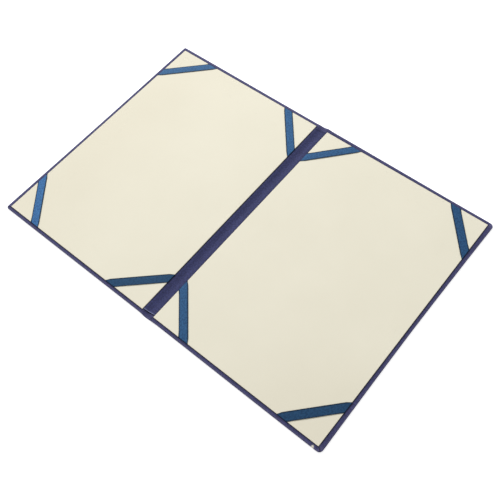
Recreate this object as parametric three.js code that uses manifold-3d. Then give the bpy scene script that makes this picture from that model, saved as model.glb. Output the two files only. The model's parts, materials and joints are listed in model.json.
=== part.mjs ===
// A certificate cover for A4 sheets, open and lying flat, seen from the inside.
//
// Lengths are millimetres. X runs across the open cover, Y along the spine towards the head, and Z up.
// The origin is the middle of the underside. The front cover is on the -X side and the back cover on the
// +X side, as in an open book, and each cover folds up about its own fold line beside the spine.

import * as THREE from "three";
import { mergeVertices } from "three/addons/utils/BufferGeometryUtils.js";
import Module from "manifold-3d";

const wasm = await Module();
wasm.setup();

// Cover
const coverHeight = 312; // along the spine
const coverWidth = 223.1; // from a cover's fold line to its outer edge
const spineWidth = 8; // between the two fold lines
const clothThickness = 0.35;
const clothEdgeRound = 0.3; // rounding of the cloth where it turns over the boards' edges
const boardThickness = 1.25;
const boardSetback = 2.6; // from a fold line to the board's edge
const turnIn = 15; // cloth turned in over the boards
const mitreSlit = 0.12; // width of the seam between two turn-ins at a corner
const mitreLeft = 1.2; // cloth left whole between the seam and the corner
const backCornerRound = 3.2; // the back cover's corners are blunt
const frontCornerRound = 1.6; // the front cover's corners are neater
const spineBulge = 0.9; // how far the cloth of the spine swells past the boards' ends
const bulgeReach = 5; // the bulge dies away this far outside a fold line

// Spine strip
const stripThickness = 0.2;
const stripToEnd = 5.8; // from each end of the cover to the strip's end
const stripSkew = 0.106; // its ends are cut out of square by this much Y for each X
const stripTuck = 8; // how far its long edges reach under the liners
const stripSeat = 0.05; // clearance to the cloth and board below it
const turnInRamp = 4; // length over which the strip climbs onto the cloth turned in at each end

// Liners
const linerThickness = 0.65;
const linerCornerRound = 0.4;
const linerToFold = 4.1; // from the fold line to the liner's edge beside the spine
const linerToOuterEdge = 3.9; // cloth showing beside a liner's outer edge
const linerToEnd = 3.85; // cloth showing at the head and the tail

// Ribbons
const ribbonWidth = 10;
const ribbonThickness = 0.18;
const ribbonSeat = 0.03; // clearance between a ribbon and the liner
const ribbonTail = 9; // length behind the liner, square to its edge

// Where each ribbon's centre line crosses the liner's edges, from the liner's corner:
// along the edge beside the spine or the outer edge, and along the head or tail edge.
const ribbonFeet = {
  front_outer_head: { alongSide: 47.5, alongEnd: 49.5 },
  front_outer_tail: { alongSide: 51, alongEnd: 42 },
  front_spine_head: { alongSide: 50, alongEnd: 43 },
  front_spine_tail: { alongSide: 45.5, alongEnd: 49.5 },
  back_outer_head: { alongSide: 46.5, alongEnd: 40.5 },
  back_outer_tail: { alongSide: 47.5, alongEnd: 44 },
  back_spine_head: { alongSide: 46.5, alongEnd: 43 },
  back_spine_tail: { alongSide: 47.5, alongEnd: 43 },
};

// Fineness and clearances
const foldGap = 0.08; // clearance on each side of a fold line
const slopeSteps = 8;
const cornerSteps = 5;
const wrapSteps = 3;
const beyond = 5; // cutters reach this far past what they cut

// Worked out from the values above
const foldX = spineWidth / 2;
const outerX = foldX + coverWidth;
const endY = coverHeight / 2;
const boardX = foldX + boardSetback;
const boardTop = clothThickness + boardThickness;
const clothTop = boardTop + clothThickness;
const turnedInY = endY - turnIn;
const turnedInX = outerX - turnIn;
const linerBottom = clothTop + stripSeat + stripThickness;
const linerTop = linerBottom + linerThickness;
const linerOuterX = outerX - linerToOuterEdge;
const linerInnerX = foldX + linerToFold;
const linerEndY = endY - linerToEnd;
const stripEndY = endY - stripToEnd;

const clothMaterial = new THREE.MeshStandardMaterial({ color: 0x3f3d64, roughness: 0.85 });
const stripMaterial = new THREE.MeshStandardMaterial({ color: 0x3a3a60, roughness: 0.85 });
const boardMaterial = new THREE.MeshStandardMaterial({ color: 0x8d877a, roughness: 0.9 });
const linerMaterial = new THREE.MeshStandardMaterial({ color: 0xece6d2, roughness: 0.75 });
const ribbonMaterial = new THREE.MeshStandardMaterial({ color: 0x3f6a94, roughness: 0.4 });

// Solids

// Drops all but the positions and joins equal vertices, so that a geometry can be cut or exported.
function welded(geometry) {
  const bare = new THREE.BufferGeometry();
  bare.setAttribute("position", geometry.getAttribute("position"));
  bare.setIndex(geometry.getIndex());
  return mergeVertices(bare, 1e-4);
}

function solid(geometry) {
  const bare = welded(geometry);
  return new wasm.Manifold(
    new wasm.Mesh({
      numProp: 3,
      vertProperties: new Float32Array(bare.getAttribute("position").array),
      triVerts: new Uint32Array(bare.getIndex().array),
    }),
  );
}

function geometryOf(manifold) {
  const mesh = manifold.getMesh();
  const geometry = new THREE.BufferGeometry();
  geometry.setAttribute("position", new THREE.BufferAttribute(mesh.vertProperties, 3));
  geometry.setIndex(new THREE.BufferAttribute(mesh.triVerts, 1));
  return geometry;
}

// One geometry less each of the others.
function cut(geometry, ...cutters) {
  let rest = solid(geometry);
  for (const cutter of cutters) {
    rest = rest.subtract(solid(cutter));
  }
  return geometryOf(rest);
}

// The same shape on the other side of the spine.
function mirrored(geometry) {
  const other = welded(geometry).scale(-1, 1, 1);
  const corners = other.getIndex().array;
  for (let i = 0; i < corners.length; i += 3) {
    [corners[i], corners[i + 1]] = [corners[i + 1], corners[i]];
  }
  return other;
}

// An outline in XY, extruded from one height to another.
function slab(outline, low, high) {
  const shape = new THREE.Shape(outline);
  return new THREE.ExtrudeGeometry(shape, { depth: high - low, bevelEnabled: false }).translate(0, 0, low);
}

// An outline in XY whose upper and lower edges are rounded over.
function roundedSlab(outline, low, high, round) {
  const geometry = new THREE.ExtrudeGeometry(new THREE.Shape(outline), {
    depth: high - low - 2 * round,
    bevelThickness: round,
    bevelSize: round,
    bevelOffset: -round,
    bevelSegments: 2,
  });
  return geometry.translate(0, 0, low + round);
}

// A profile in XZ, extruded along the spine over the whole height of the cover and a little more.
function alongSpine(profile, length = coverHeight + 4 * beyond) {
  const shape = new THREE.Shape(profile);
  const geometry = new THREE.ExtrudeGeometry(shape, { depth: length, bevelEnabled: false });
  return geometry.translate(0, 0, -length / 2).rotateX(Math.PI / 2);
}

// A closed sheet over the rows of points that `across` gives for each value of x:
// each point is [y, height of the underside], and the sheet lies on them.
function drapedSheet(xs, across, thickness) {
  const rows = xs.map((x) => across(x).map(([y, z]) => [x, y, z]));
  const columns = rows[0].length;
  const points = [];
  for (const lift of [0, thickness]) {
    for (const row of rows) {
      for (const [x, y, z] of row) {
        points.push(x, y, z + lift);
      }
    }
  }
  const layer = rows.length * columns;
  const at = (row, column, top) => top * layer + row * columns + column;
  const faces = [];
  const quad = (a, b, c, d) => faces.push(a, b, c, a, c, d);
  for (let i = 0; i + 1 < rows.length; i++) {
    for (let j = 0; j + 1 < columns; j++) {
      quad(at(i, j, 1), at(i + 1, j, 1), at(i + 1, j + 1, 1), at(i, j + 1, 1));
      quad(at(i, j, 0), at(i, j + 1, 0), at(i + 1, j + 1, 0), at(i + 1, j, 0));
    }
  }
  const last = columns - 1;
  for (let i = 0; i + 1 < rows.length; i++) {
    quad(at(i, 0, 0), at(i + 1, 0, 0), at(i + 1, 0, 1), at(i, 0, 1));
    quad(at(i, last, 1), at(i + 1, last, 1), at(i + 1, last, 0), at(i, last, 0));
  }
  const end = rows.length - 1;
  for (let j = 0; j + 1 < columns; j++) {
    quad(at(0, j, 1), at(0, j + 1, 1), at(0, j + 1, 0), at(0, j, 0));
    quad(at(end, j, 0), at(end, j + 1, 0), at(end, j + 1, 1), at(end, j, 1));
  }
  const geometry = new THREE.BufferGeometry();
  geometry.setAttribute("position", new THREE.Float32BufferAttribute(points, 3));
  geometry.setIndex(faces);
  return geometry;
}

// Shapes that several pieces share

// Places from one value to another, both ends included.
function steps(from, to, count) {
  return Array.from({ length: count + 1 }, (_, i) => from + ((to - from) * i) / count);
}

const { smoothstep } = THREE.MathUtils;
const slopeStart = foldX + 2 * foldGap;
const slopeXs = steps(slopeStart, boardX, slopeSteps);

// Height of what the strip lies on, away from the cloth turned in at the ends:
// the cloth of the spine, a soft slope beside the fold line, and then the board.
function slopeHeight(x) {
  return clothThickness + boardThickness * smoothstep(Math.abs(x), slopeStart, boardX);
}

// Y of the cloth's end at a place across the cover: it swells at the spine, where there is no board.
function clothEndY(x) {
  return endY + spineBulge * (1 - smoothstep(x, foldX, foldX + bulgeReach));
}

// The clearance at one fold line: a slit through the cloth and a V above it, whose walls meet when the
// cover stands at a right angle.
function foldGroove() {
  const reach = clothTop + beyond;
  return alongSpine([
    new THREE.Vector2(foldX - foldGap, -beyond),
    new THREE.Vector2(foldX + foldGap, -beyond),
    new THREE.Vector2(foldX + foldGap, clothThickness),
    new THREE.Vector2(foldX + foldGap + reach, clothThickness + reach),
    new THREE.Vector2(foldX - foldGap - reach, clothThickness + reach),
    new THREE.Vector2(foldX - foldGap, clothThickness),
  ]);
}

// Boards

// A quarter circle at the corner of a rectangle, from the side at +X to the end at +Y.
function cornerArc(x, y, round) {
  return steps(0, Math.PI / 2, cornerSteps).map(
    (angle) => new THREE.Vector2(x - round + round * Math.cos(angle), y - round + round * Math.sin(angle)),
  );
}

// The +X half of an outline, given from its corner up to its inner end, joined to its image below.
function withImageBelow(upper) {
  const lower = upper.map((point) => new THREE.Vector2(point.x, -point.y)).reverse();
  return [...lower, ...upper];
}

function board(cornerRound) {
  const round = cornerRound - clothThickness;
  const corner = cornerArc(outerX - clothThickness, endY - clothThickness, round);
  const outline = withImageBelow([...corner, new THREE.Vector2(boardX, endY - clothThickness)]);
  return slab(outline, clothThickness, boardTop);
}

// Cover cloth

// A rectangle in XY.
function rectangle(lowX, highX, lowY, highY) {
  return [
    new THREE.Vector2(lowX, lowY),
    new THREE.Vector2(highX, lowY),
    new THREE.Vector2(highX, highY),
    new THREE.Vector2(lowX, highY),
  ];
}

// The seam between the two turn-ins at an outer corner, `side` being +1 at the head and -1 at the tail.
function mitre(side) {
  const length = Math.SQRT2 * (turnIn - mitreLeft);
  const slit = slab(rectangle(0, length, -mitreSlit / 2, mitreSlit / 2), boardTop, clothTop + beyond);
  return slit.rotateZ((side * Math.PI) / 4).translate(turnedInX, side * turnedInY, 0);
}

// The cloth of one cover, wrapped over its board and turned in.
function coverCloth(cornerRound) {
  const swelling = steps(foldX + bulgeReach, foldX - beyond, slopeSteps + slopeSteps).map(
    (x) => new THREE.Vector2(x, clothEndY(x)),
  );
  const outline = withImageBelow([...cornerArc(outerX, endY, cornerRound), ...swelling]);
  const wrapped = roundedSlab(outline, 0, clothTop, clothEdgeRound);
  const aboveSlope = alongSpine([
    ...slopeXs.map((x) => new THREE.Vector2(x, slopeHeight(x) + clothThickness)),
    new THREE.Vector2(boardX, clothTop + beyond),
    new THREE.Vector2(foldX - 2 * beyond, clothTop + beyond),
    new THREE.Vector2(foldX - 2 * beyond, 2 * clothThickness),
  ]);
  const overBoard = slab(rectangle(foldX, turnedInX, -turnedInY, turnedInY), boardTop, clothTop + beyond);
  const besideBoard = slab(
    rectangle(foldX - 2 * beyond, boardX, -turnedInY, turnedInY),
    clothThickness,
    clothTop + beyond,
  );
  const inside = slab(rectangle(-outerX, foldX, -coverHeight, coverHeight), -beyond, clothTop + beyond);
  const openings = [board(cornerRound), aboveSlope, overBoard, besideBoard];
  return cut(wrapped, ...openings, mitre(1), mitre(-1), inside, foldGroove());
}

// The cloth of the spine, folded back on itself at the head and the tail.
function spineCloth() {
  const fold = clothThickness;
  const foldY = clothEndY(0) - fold;
  const roundEnd = steps(-Math.PI / 2, Math.PI / 2, 2 * cornerSteps).map(
    (angle) => new THREE.Vector2(foldY + fold * Math.cos(angle), fold + fold * Math.sin(angle)),
  );
  const upper = [...roundEnd, new THREE.Vector2(turnedInY, 2 * fold), new THREE.Vector2(turnedInY, fold)];
  const profile = [...upper, ...upper.map((point) => new THREE.Vector2(-point.x, point.y)).reverse()];
  const width = spineWidth + 2 * beyond;
  const folded = new THREE.ExtrudeGeometry(new THREE.Shape(profile), { depth: width, bevelEnabled: false });
  // The profile was drawn in XY: its X becomes Y, its Y becomes Z and its depth runs along X.
  folded.translate(0, 0, -width / 2).rotateX(Math.PI / 2).rotateZ(Math.PI / 2);
  const right = slab(rectangle(foldX, width, -coverHeight, coverHeight), -beyond, clothTop + beyond);
  return cut(folded, right, mirrored(right), foldGroove(), mirrored(foldGroove()));
}

// Spine strip

// The strip's Y and the height below it, from its tail end to its head end at a place across the spine.
function stripLine(x) {
  const skew = stripSkew * Math.max(-linerInnerX, Math.min(linerInnerX, x));
  const stations = [
    [-stripEndY + skew, clothThickness],
    [-turnedInY, clothThickness],
    [-turnedInY + turnInRamp, 0],
    [turnedInY - turnInRamp, 0],
    [turnedInY, clothThickness],
    [stripEndY + skew, clothThickness],
  ];
  return stations.map(([y, lift]) => [y, slopeHeight(x) + lift + stripSeat]);
}

function spineStrip() {
  const sheet = drapedSheet(steps(-foldX, foldX, 4), stripLine, stripThickness);
  return cut(sheet, foldGroove(), mirrored(foldGroove()));
}

// The part of the strip on one cover, `side` being +1 on the back cover and -1 on the front cover.
function stripEdge(side) {
  const xs = [foldX, ...slopeXs, linerInnerX, linerInnerX + stripTuck].map((x) => side * x);
  const sheet = drapedSheet(side > 0 ? xs : xs.reverse(), stripLine, stripThickness);
  return cut(sheet, side > 0 ? foldGroove() : mirrored(foldGroove()));
}

// Liners

function liner() {
  const outer = cornerArc(linerOuterX, linerEndY, linerCornerRound);
  const inner = cornerArc(-linerInnerX, linerEndY, linerCornerRound)
    .map((point) => new THREE.Vector2(-point.x, point.y))
    .reverse();
  return slab(withImageBelow([...outer, ...inner]), linerBottom, linerTop);
}

// Ribbons

// Sections of a ribbon from the liner's face round its edge to the end of its tail, square to that edge.
// `run` is the length of ribbon from the edge, `out` the distance past the edge and `z` the height,
// both for the side against the liner and for the outer side.
function wrapSections() {
  const inner = ribbonSeat;
  const outer = ribbonSeat + ribbonThickness;
  const sections = [];
  let run = 0;
  const addArc = (edgeZ, from, to) => {
    for (const angle of steps(from, to, wrapSteps)) {
      const point = (radius) => ({ out: radius * Math.cos(angle), z: edgeZ + radius * Math.sin(angle) });
      sections.push({ run, inner: point(inner), outer: point(outer) });
      run += ((Math.abs(to - from) / wrapSteps) * (inner + outer)) / 2;
    }
    run -= ((Math.abs(to - from) / wrapSteps) * (inner + outer)) / 2;
  };
  addArc(linerTop, Math.PI / 2, 0);
  run += linerThickness;
  addArc(linerBottom, 0, -Math.PI / 2);
  sections.push({
    run: run + ribbonTail,
    inner: { out: -ribbonTail, z: linerBottom - inner },
    outer: { out: -ribbonTail, z: linerBottom - outer },
  });
  return sections;
}

// A ribbon across the corner at (cornerX, cornerY). `inX` and `inY` point from that corner into the liner.
function ribbon(cornerX, cornerY, inX, inY, { alongSide, alongEnd }) {
  const length = Math.hypot(alongSide, alongEnd);
  const edges = [-ribbonWidth / 2, ribbonWidth / 2];
  const sections = wrapSections();
  // At the side edge, the distance from the corner grows along the tail by alongSide / alongEnd.
  const overSide = ({ run, inner, outer }) =>
    [inner, outer].map(({ out, z }) =>
      edges.map((offset) => [-out, alongSide + (offset * length + alongSide * run) / alongEnd, z]),
    );
  const overEnd = ({ run, inner, outer }) =>
    [inner, outer].map(({ out, z }) =>
      edges.map((offset) => [alongEnd + (offset * length + alongEnd * run) / alongSide, -out, z]),
    );
  const rings = [...sections.map(overSide).reverse(), ...sections.map(overEnd)];
  const points = rings.flatMap(([[a, b], [c, d]]) => [a, b, d, c]);
  const geometry = new THREE.BufferGeometry();
  const placed = points.flatMap(([x, y, z]) => [cornerX + inX * x, cornerY + inY * y, z]);
  geometry.setAttribute("position", new THREE.Float32BufferAttribute(placed, 3));
  const faces = [];
  const turned = inX * inY < 0;
  const quad = (a, b, c, d) => (turned ? faces.push(a, b, c, a, c, d) : faces.push(a, c, b, a, d, c));
  for (let ring = 0; ring + 1 < rings.length; ring++) {
    for (let k = 0; k < 4; k++) {
      const next = (k + 1) % 4;
      quad(4 * ring + k, 4 * ring + 4 + k, 4 * ring + 4 + next, 4 * ring + next);
    }
  }
  const last = 4 * (rings.length - 1);
  quad(0, 1, 2, 3);
  quad(last + 3, last + 2, last + 1, last);
  geometry.setIndex(faces);
  return geometry;
}

function cornerRibbon(place) {
  const [cover, side, end] = place.split("_");
  const outward = cover === "back" ? 1 : -1;
  const head = end === "head" ? 1 : -1;
  const edgeX = side === "outer" ? linerOuterX : linerInnerX;
  const inX = side === "outer" ? -outward : outward;
  return ribbon(outward * edgeX, head * linerEndY, inX, -head, ribbonFeet[place]);
}

// The assembly

function piece(name, geometry, material) {
  const mesh = new THREE.Mesh(geometry, material);
  mesh.name = name;
  return mesh;
}

const backCover = new THREE.Group();
backCover.add(
  piece("back_cover_cloth", coverCloth(backCornerRound), clothMaterial),
  piece("back_board", board(backCornerRound), boardMaterial),
  piece("back_strip_edge", stripEdge(1), stripMaterial),
  piece("back_liner", liner(), linerMaterial),
);

const frontCover = new THREE.Group();
frontCover.add(
  piece("front_cover_cloth", mirrored(coverCloth(frontCornerRound)), clothMaterial),
  piece("front_board", mirrored(board(frontCornerRound)), boardMaterial),
  piece("front_strip_edge", stripEdge(-1), stripMaterial),
  piece("front_liner", mirrored(liner()), linerMaterial),
);

const spine = new THREE.Group();
spine.add(
  piece("spine_cloth", spineCloth(), clothMaterial),
  piece("spine_strip", spineStrip(), stripMaterial),
);

for (const place of Object.keys(ribbonFeet)) {
  const cover = place.startsWith("back") ? backCover : frontCover;
  cover.add(piece(`${place}_ribbon`, cornerRibbon(place), ribbonMaterial));
}

const certificateCover = new THREE.Group();
certificateCover.add(backCover, spine, frontCover);

export default certificateCover;
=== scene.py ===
"""The looks of the certificate cover: cloth, liners, ribbons, light and camera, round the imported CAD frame.

Lengths are metres in the frame's own axes: X across the open cover, Y along the spine towards the head, Z up.
Shapes of the back cover are made at +X, and those of the front cover are their image at -X.
"""

import json
import math

import bmesh
import bpy
import numpy as np
from mathutils import Matrix, Vector


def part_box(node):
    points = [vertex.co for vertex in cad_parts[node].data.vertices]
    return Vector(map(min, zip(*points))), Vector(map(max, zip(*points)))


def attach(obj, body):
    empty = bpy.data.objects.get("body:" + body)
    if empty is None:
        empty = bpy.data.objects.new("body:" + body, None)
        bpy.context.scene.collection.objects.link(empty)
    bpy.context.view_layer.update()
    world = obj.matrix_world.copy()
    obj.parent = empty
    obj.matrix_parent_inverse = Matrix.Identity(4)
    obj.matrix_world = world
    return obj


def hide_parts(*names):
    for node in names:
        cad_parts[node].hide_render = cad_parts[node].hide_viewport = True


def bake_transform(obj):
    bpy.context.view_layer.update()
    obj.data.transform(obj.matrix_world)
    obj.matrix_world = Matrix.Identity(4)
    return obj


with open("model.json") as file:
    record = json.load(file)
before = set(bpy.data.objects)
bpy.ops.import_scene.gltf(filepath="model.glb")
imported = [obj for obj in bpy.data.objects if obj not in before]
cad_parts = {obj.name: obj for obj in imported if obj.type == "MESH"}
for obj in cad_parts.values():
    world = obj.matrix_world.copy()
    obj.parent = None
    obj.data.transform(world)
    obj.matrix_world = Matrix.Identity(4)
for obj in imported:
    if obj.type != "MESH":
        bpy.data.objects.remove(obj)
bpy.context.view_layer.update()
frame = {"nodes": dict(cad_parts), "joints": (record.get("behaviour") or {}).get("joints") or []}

MM = 0.001
JOIN_DISTANCE = 1e-7  # points that lie this close are one vertex
SLIVER_LENGTH = 1e-8
MIDDLE_PLANE = 1e-6  # a vertex nearer than this to x = 0 lies in the middle of the spine

# The photograph's view
IMAGE_SIDE_PX = 500
FOCAL_PX = 703.66
SENSOR_WIDTH_MM = 36.0
VIEW_AZIMUTH = math.radians(47.23)
VIEW_ELEVATION = math.radians(60.09)
VIEW_ROLL = math.radians(-8.73)
VIEW_DISTANCE = 770.9 * MM
VIEW_AIM = Vector((36.2, -27.2, 0)) * MM
VIEW_NEAR = 0.01
VIEW_FAR = 100

# Sizes read from the frame
back_cloth_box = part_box("back_cover_cloth")
back_board_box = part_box("back_board")
back_liner_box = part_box("back_liner")
spine_cloth_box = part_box("spine_cloth")
hinge = {joint["name"]: joint["pos_m"] for joint in frame["joints"]}
FOLD_X = hinge["back_hinge"][0]
CLOTH = back_board_box[0].z
BOARD_X = back_board_box[0].x
BOARD_TOP = back_board_box[1].z
CLOTH_TOP = back_cloth_box[1].z
OUTER_X = back_cloth_box[1].x
END_Y = back_board_box[1].y + CLOTH
BULGE = spine_cloth_box[1].y - END_Y
STRIP_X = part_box("back_strip_edge")[1].x
LINER_INNER_X = back_liner_box[0].x
LINER_OUTER_X = back_liner_box[1].x
LINER_END_Y = back_liner_box[1].y
LINER_BOTTOM = back_liner_box[0].z
LINER_TOP = back_liner_box[1].z

# Cover cloth
TURN_IN = 15 * MM
TAIL_SWELL = 0.77 * MM
SWELL_REACH = 7.2 * MM
TAIL_SWELL_REACH = {-1: 5.8 * MM, 1: 10 * MM}
HEAD_SWELL_CENTRE = 1.8 * MM
# In the tables below a first key of -1 is the front cover's side and 1 the back cover's, and for the ends -1
# is the tail and 1 the head.
CORNERS = {-1: {-1: 2.7 * MM, 1: 1.8 * MM}, 1: {-1: 4.4 * MM, 1: 4.4 * MM}}  # how round the outer ones are
# How much further off the boards the cloth stands: at the spine, and at the outer corners of each cover
SPINE_SLACK = {-1: 0.15 * MM, 1: 0.55 * MM}
CORNER_SLACK = {-1: {-1: 0.2 * MM, 1: 0.85 * MM}, 1: {-1: 0.45 * MM, 1: 0.25 * MM}}
SLACK_START = 10 * MM
SLACK_END = 190 * MM
SIDE_SLACK = {-1: 0, 1: 0.15 * MM}  # the same at the middle of each cover's outer edge
SIDE_FLARE = {-1: 0.6 * MM, 1: 1.55 * MM}  # and how much more at the ends of those edges
SIDE_FLARE_POWER = 1.5
HEAD_FLARE = 0.75 * MM  # the back cover's head edge stands out near the spine
HEAD_FLARE_FULL = 9 * MM
HEAD_FLARE_FALLS = 18 * MM
HEAD_FLARE_END = 215 * MM
EDGE_ROUND = 0.75 * MM
CORNER_SOFTER = 0.25 * MM  # added to the edge's rounding at the corners
MITRE_STEP = 0.3 * MM  # how far the side flap stands over the head or tail flap at their seam
MITRE_FADE = 6 * MM
MITRE_RISE = (0.1 * MM, 1.2 * MM)  # insets between which the side flap rises to its step
MITRE_SHADE = 0.65 * MM  # half the width of the painted dark shade along the seam
CREASE_SHADE_WIDTH = 1.2 * MM  # how far the painted shade in a crease beside a liner reaches
STRIP_END_SHADOW = (0.2 * MM, 1.44 * MM)  # where the painted shadow of the strip's raised cut end is full, and where it ends
# How pale the borders of the front and the back cover are painted, and how far in from the edge that reaches:
# rubbed wear, and on the head borders and the front cover's outer border partly a painted highlight where
# they face the lamp
OVER_WEAR_AND_HIGHLIGHT = {
    -1: {"head": (0.6, 3.6 * MM), "side": (0.5, 3.3 * MM), "tail": (0.3, 2.6 * MM)},
    1: {"head": (0.42, 3.0 * MM), "side": (0.06, 2.6 * MM), "tail": (0.3, 2.6 * MM)},
}
OVER_WEAR_START = 1.2 * MM
CORNER_WEAR_AND_HIGHLIGHT = 0.5  # and how much paler the side flaps are painted at the corners: wear, and partly a painted highlight on their facet
EDGE_WEAR = {"under": 0.0, "low": 0.55, "wall": 0.45, "high": 0.8}
PLAIN_EDGE_SHARE = 0.55  # how rubbed an edge is away from the corners, where a corner is 1
SPINE_LAYERS_GAP = 0.02 * MM
GROOVE_DEPTH = 0.14 * MM  # pressed groove outside each fold line, on the outside
GROOVE_WIDTH = 3.2 * MM

# Spine strip
STRIP_THICKNESS = 0.24 * MM
STRIP_SEAT = 0.05 * MM
STRIP_SKEW = 0.106
STRIP_END_Y = END_Y - 5.8 * MM
STRIP_CURL = 0.5 * MM
STRIP_CURL_LENGTH = 2.2 * MM
SAG_START = 0.8 * MM  # the soft trough is level between here and its mirror image
STRIP_SPAN = 0.3 * MM  # the strip spans the trough and doesn't quite reach its bottom
STRIP_LIFT = 0.03 * MM  # the most that its ripple can lower it
STRIP_SQUARE_END = 16 * MM  # the last stretch at each end, which takes up the slant of the cut
STRIP_CURL_FADE = 3 * MM
STRIP_FINE = (7 * MM, 9 * MM)  # distances from the middle between which its points lie closest together
STRIP_STEPS = (0.5 * MM, 0.2 * MM, 1.2 * MM)  # before those, between them and after them
STRIP_END_STEP = 0.5 * MM
STRIP_LONG_STEP = 5 * MM
RIPPLE = 0.03 * MM
RIPPLE_LENGTH = 17 * MM
RIPPLE_DRIFT = 1.3
RIPPLE_DRIFT_LENGTH = 41 * MM
RIPPLE_EDGE = (5 * MM, 7 * MM)  # the ripple dies out between these distances from the middle
CUT_END_FRAY_AND_HIGHLIGHT = (1.1 * MM, 0.3 * MM)  # the tail's cut end is painted pale from here to here, counted in from it: fray, and partly a painted highlight
TURN_IN_RAMP = 4 * MM

# Liners
LINER_EDGE_ROUND = 0.22 * MM
LINER_WARP = 0.05 * MM
LINER_WARP_LENGTHS = (38 * MM, 53 * MM)
LINER_WARP_START = 25 * MM  # the card lies flat at its edges and warps fully from here on
LINER_STEP = 6 * MM
LINER_RUB_REACH = 0.8 * MM
HANDLED_FULL = 20 * MM
HANDLED_REACH = 130 * MM
# How far each side is cut short of the card in the frame
LINER_SHORT = {
    -1: {"outer": 0.45 * MM, "head": 0.15 * MM, "tail": 0},
    1: {"outer": 0, "head": 0.25 * MM, "tail": 0.1 * MM},
}

# Ribbons
RIBBON_WIDTH = 10 * MM
RIBBON_THICKNESS = 0.16 * MM
RIBBON_TAIL = 9 * MM
RIBBON_SEAT = 0.04 * MM
RIBBON_SLACK = 0.28 * MM  # how far the middle of a ribbon stands off the liner
RIBBON_TURN_REACH = 7 * MM  # the last stretch, which turns towards the square of the liner's edge
WRAP_SLANT = 0.3  # what is left of the ribbon's slant where it goes round the edge
SELVEDGE = 0.09 * MM  # added to the ribbon's thickness along its two long edges
SELVEDGE_START = 0.86  # as a share of half the ribbon's width
SELVEDGE_FULL = 0.95
SLACK_POWER = 0.6
SLACK_CROWN = 0.25  # how much less a ribbon's long edges stand off than its middle
# Along the side edge and along the head or tail edge, from the liner's corner to the ribbon's centre
# line, how far the ribbon's far long edge and near long edge turn in towards the corner, and the painted
# sheen: how much lighter the ribbon is painted beside the others, in place of the satin's highlight.
RIBBONS = {
    "front_outer_head": {"side": 47.5, "end": 49.5, "far_turn": 0.9, "near_turn": 0.5, "painted_sheen": 0.9},
    "front_outer_tail": {"side": 51, "end": 42, "far_turn": 0.8, "near_turn": 0.4, "painted_sheen": 1.6},
    "front_spine_head": {"side": 50, "end": 43, "far_turn": 0.6, "near_turn": 0.2, "painted_sheen": 1.2},
    "front_spine_tail": {"side": 45.5, "end": 49.5, "far_turn": 1.3, "near_turn": 0.2, "painted_sheen": 0.56},
    "back_outer_head": {"side": 46.5, "end": 40.5, "far_turn": 0.7, "near_turn": 0.5, "painted_sheen": 0.97},
    "back_outer_tail": {"side": 47.5, "end": 44, "far_turn": 1.2, "near_turn": 0.3, "painted_sheen": 0.63},
    "back_spine_head": {"side": 46.5, "end": 43, "far_turn": 0.8, "near_turn": 0.3, "painted_sheen": 1.0},
    "back_spine_tail": {"side": 47.5, "end": 43, "far_turn": 1.0, "near_turn": 0.5, "painted_sheen": 0.93},
}


def smoothstep(value, low, high):
    t = np.clip((np.asarray(value, float) - low) / (high - low), 0, 1)
    return t * t * (3 - 2 * t)


def add_object(name, data):
    made = bpy.data.objects.new(name, data)
    bpy.context.scene.collection.objects.link(made)
    return made


def new_object(name, points, faces, uvs, attributes):
    """A mesh object whose vertices that lie on each other are joined.

    `uvs` and each of the attributes have one row for each point.
    """
    mesh = bpy.data.meshes.new(name)
    mesh.from_pydata([tuple(p) for p in points], [], [tuple(f) for f in faces])
    layer = mesh.uv_layers.new(name="cloth_plane")
    corner_vertices = np.zeros(len(mesh.loops), np.int32)
    mesh.loops.foreach_get("vertex_index", corner_vertices)
    layer.uv.foreach_set("vector", np.asarray(uvs, np.float32)[corner_vertices].ravel())
    for key, values in attributes.items():
        mesh.attributes.new(key, "FLOAT", "POINT").data.foreach_set("value", np.asarray(values, np.float32))
    shape = bmesh.new()
    shape.from_mesh(mesh)
    bmesh.ops.remove_doubles(shape, verts=shape.verts, dist=JOIN_DISTANCE)
    bmesh.ops.dissolve_degenerate(shape, edges=shape.edges, dist=SLIVER_LENGTH)
    bmesh.ops.recalc_face_normals(shape, faces=shape.faces)
    for face in shape.faces:
        # The halves of a sheet meet at the middle of the spine, and their cut sides don't round the shading.
        face.smooth = any(abs(vertex.co.x) > MIDDLE_PLANE for vertex in face.verts)
    shape.to_mesh(mesh)
    shape.free()
    return add_object(name, mesh)


def grid_faces(rows, columns, first=0):
    index = first + np.arange(rows * columns).reshape(rows, columns)
    corners = [index[:-1, :-1], index[1:, :-1], index[1:, 1:], index[:-1, 1:]]
    return np.stack([c.ravel() for c in corners], axis=1)


def wall_faces(line, layer):
    """Faces between a line of points and the same line in the other layer, `layer` points further on."""
    return [(a, b, b + layer, a + layer) for a, b in zip(line[:-1], line[1:])]


def slab_faces(rows, columns):
    """Faces of a thin sheet: its upper grid of points comes first, and its lower grid follows."""
    layer = rows * columns
    index = np.arange(layer).reshape(rows, columns)
    rim = np.concatenate([index[:, 0], index[-1, 1:], index[-2::-1, -1], index[0, -2::-1]])
    return [*grid_faces(rows, columns), *grid_faces(rows, columns, layer), *wall_faces(rim, layer)]


def stations(*stretches):
    """Joins (low, high, step) stretches into one rising list of places."""
    places = []
    for low, high, step in stretches:
        count = max(1, round((high - low) / step))
        places.extend(np.linspace(low, high, count + 1)[(1 if places else 0):])
    return np.array(places)


def slab(name, x, y, heights, along, attributes):
    """A thin sheet over a grid of places, from the heights of its two faces, the upper one first.

    `along` takes the place of x where the sheet is laid out flat.
    """
    points = np.concatenate([np.stack([x, y, z], axis=-1).reshape(-1, 3) for z in heights])
    flats = np.tile(np.stack([along, y], axis=-1).reshape(-1, 2), (2, 1))
    doubled = {key: np.tile(values.ravel(), 2) for key, values in attributes.items()}
    return new_object(name, points, slab_faces(*y.shape), flats, doubled)


# Cover cloth

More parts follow.
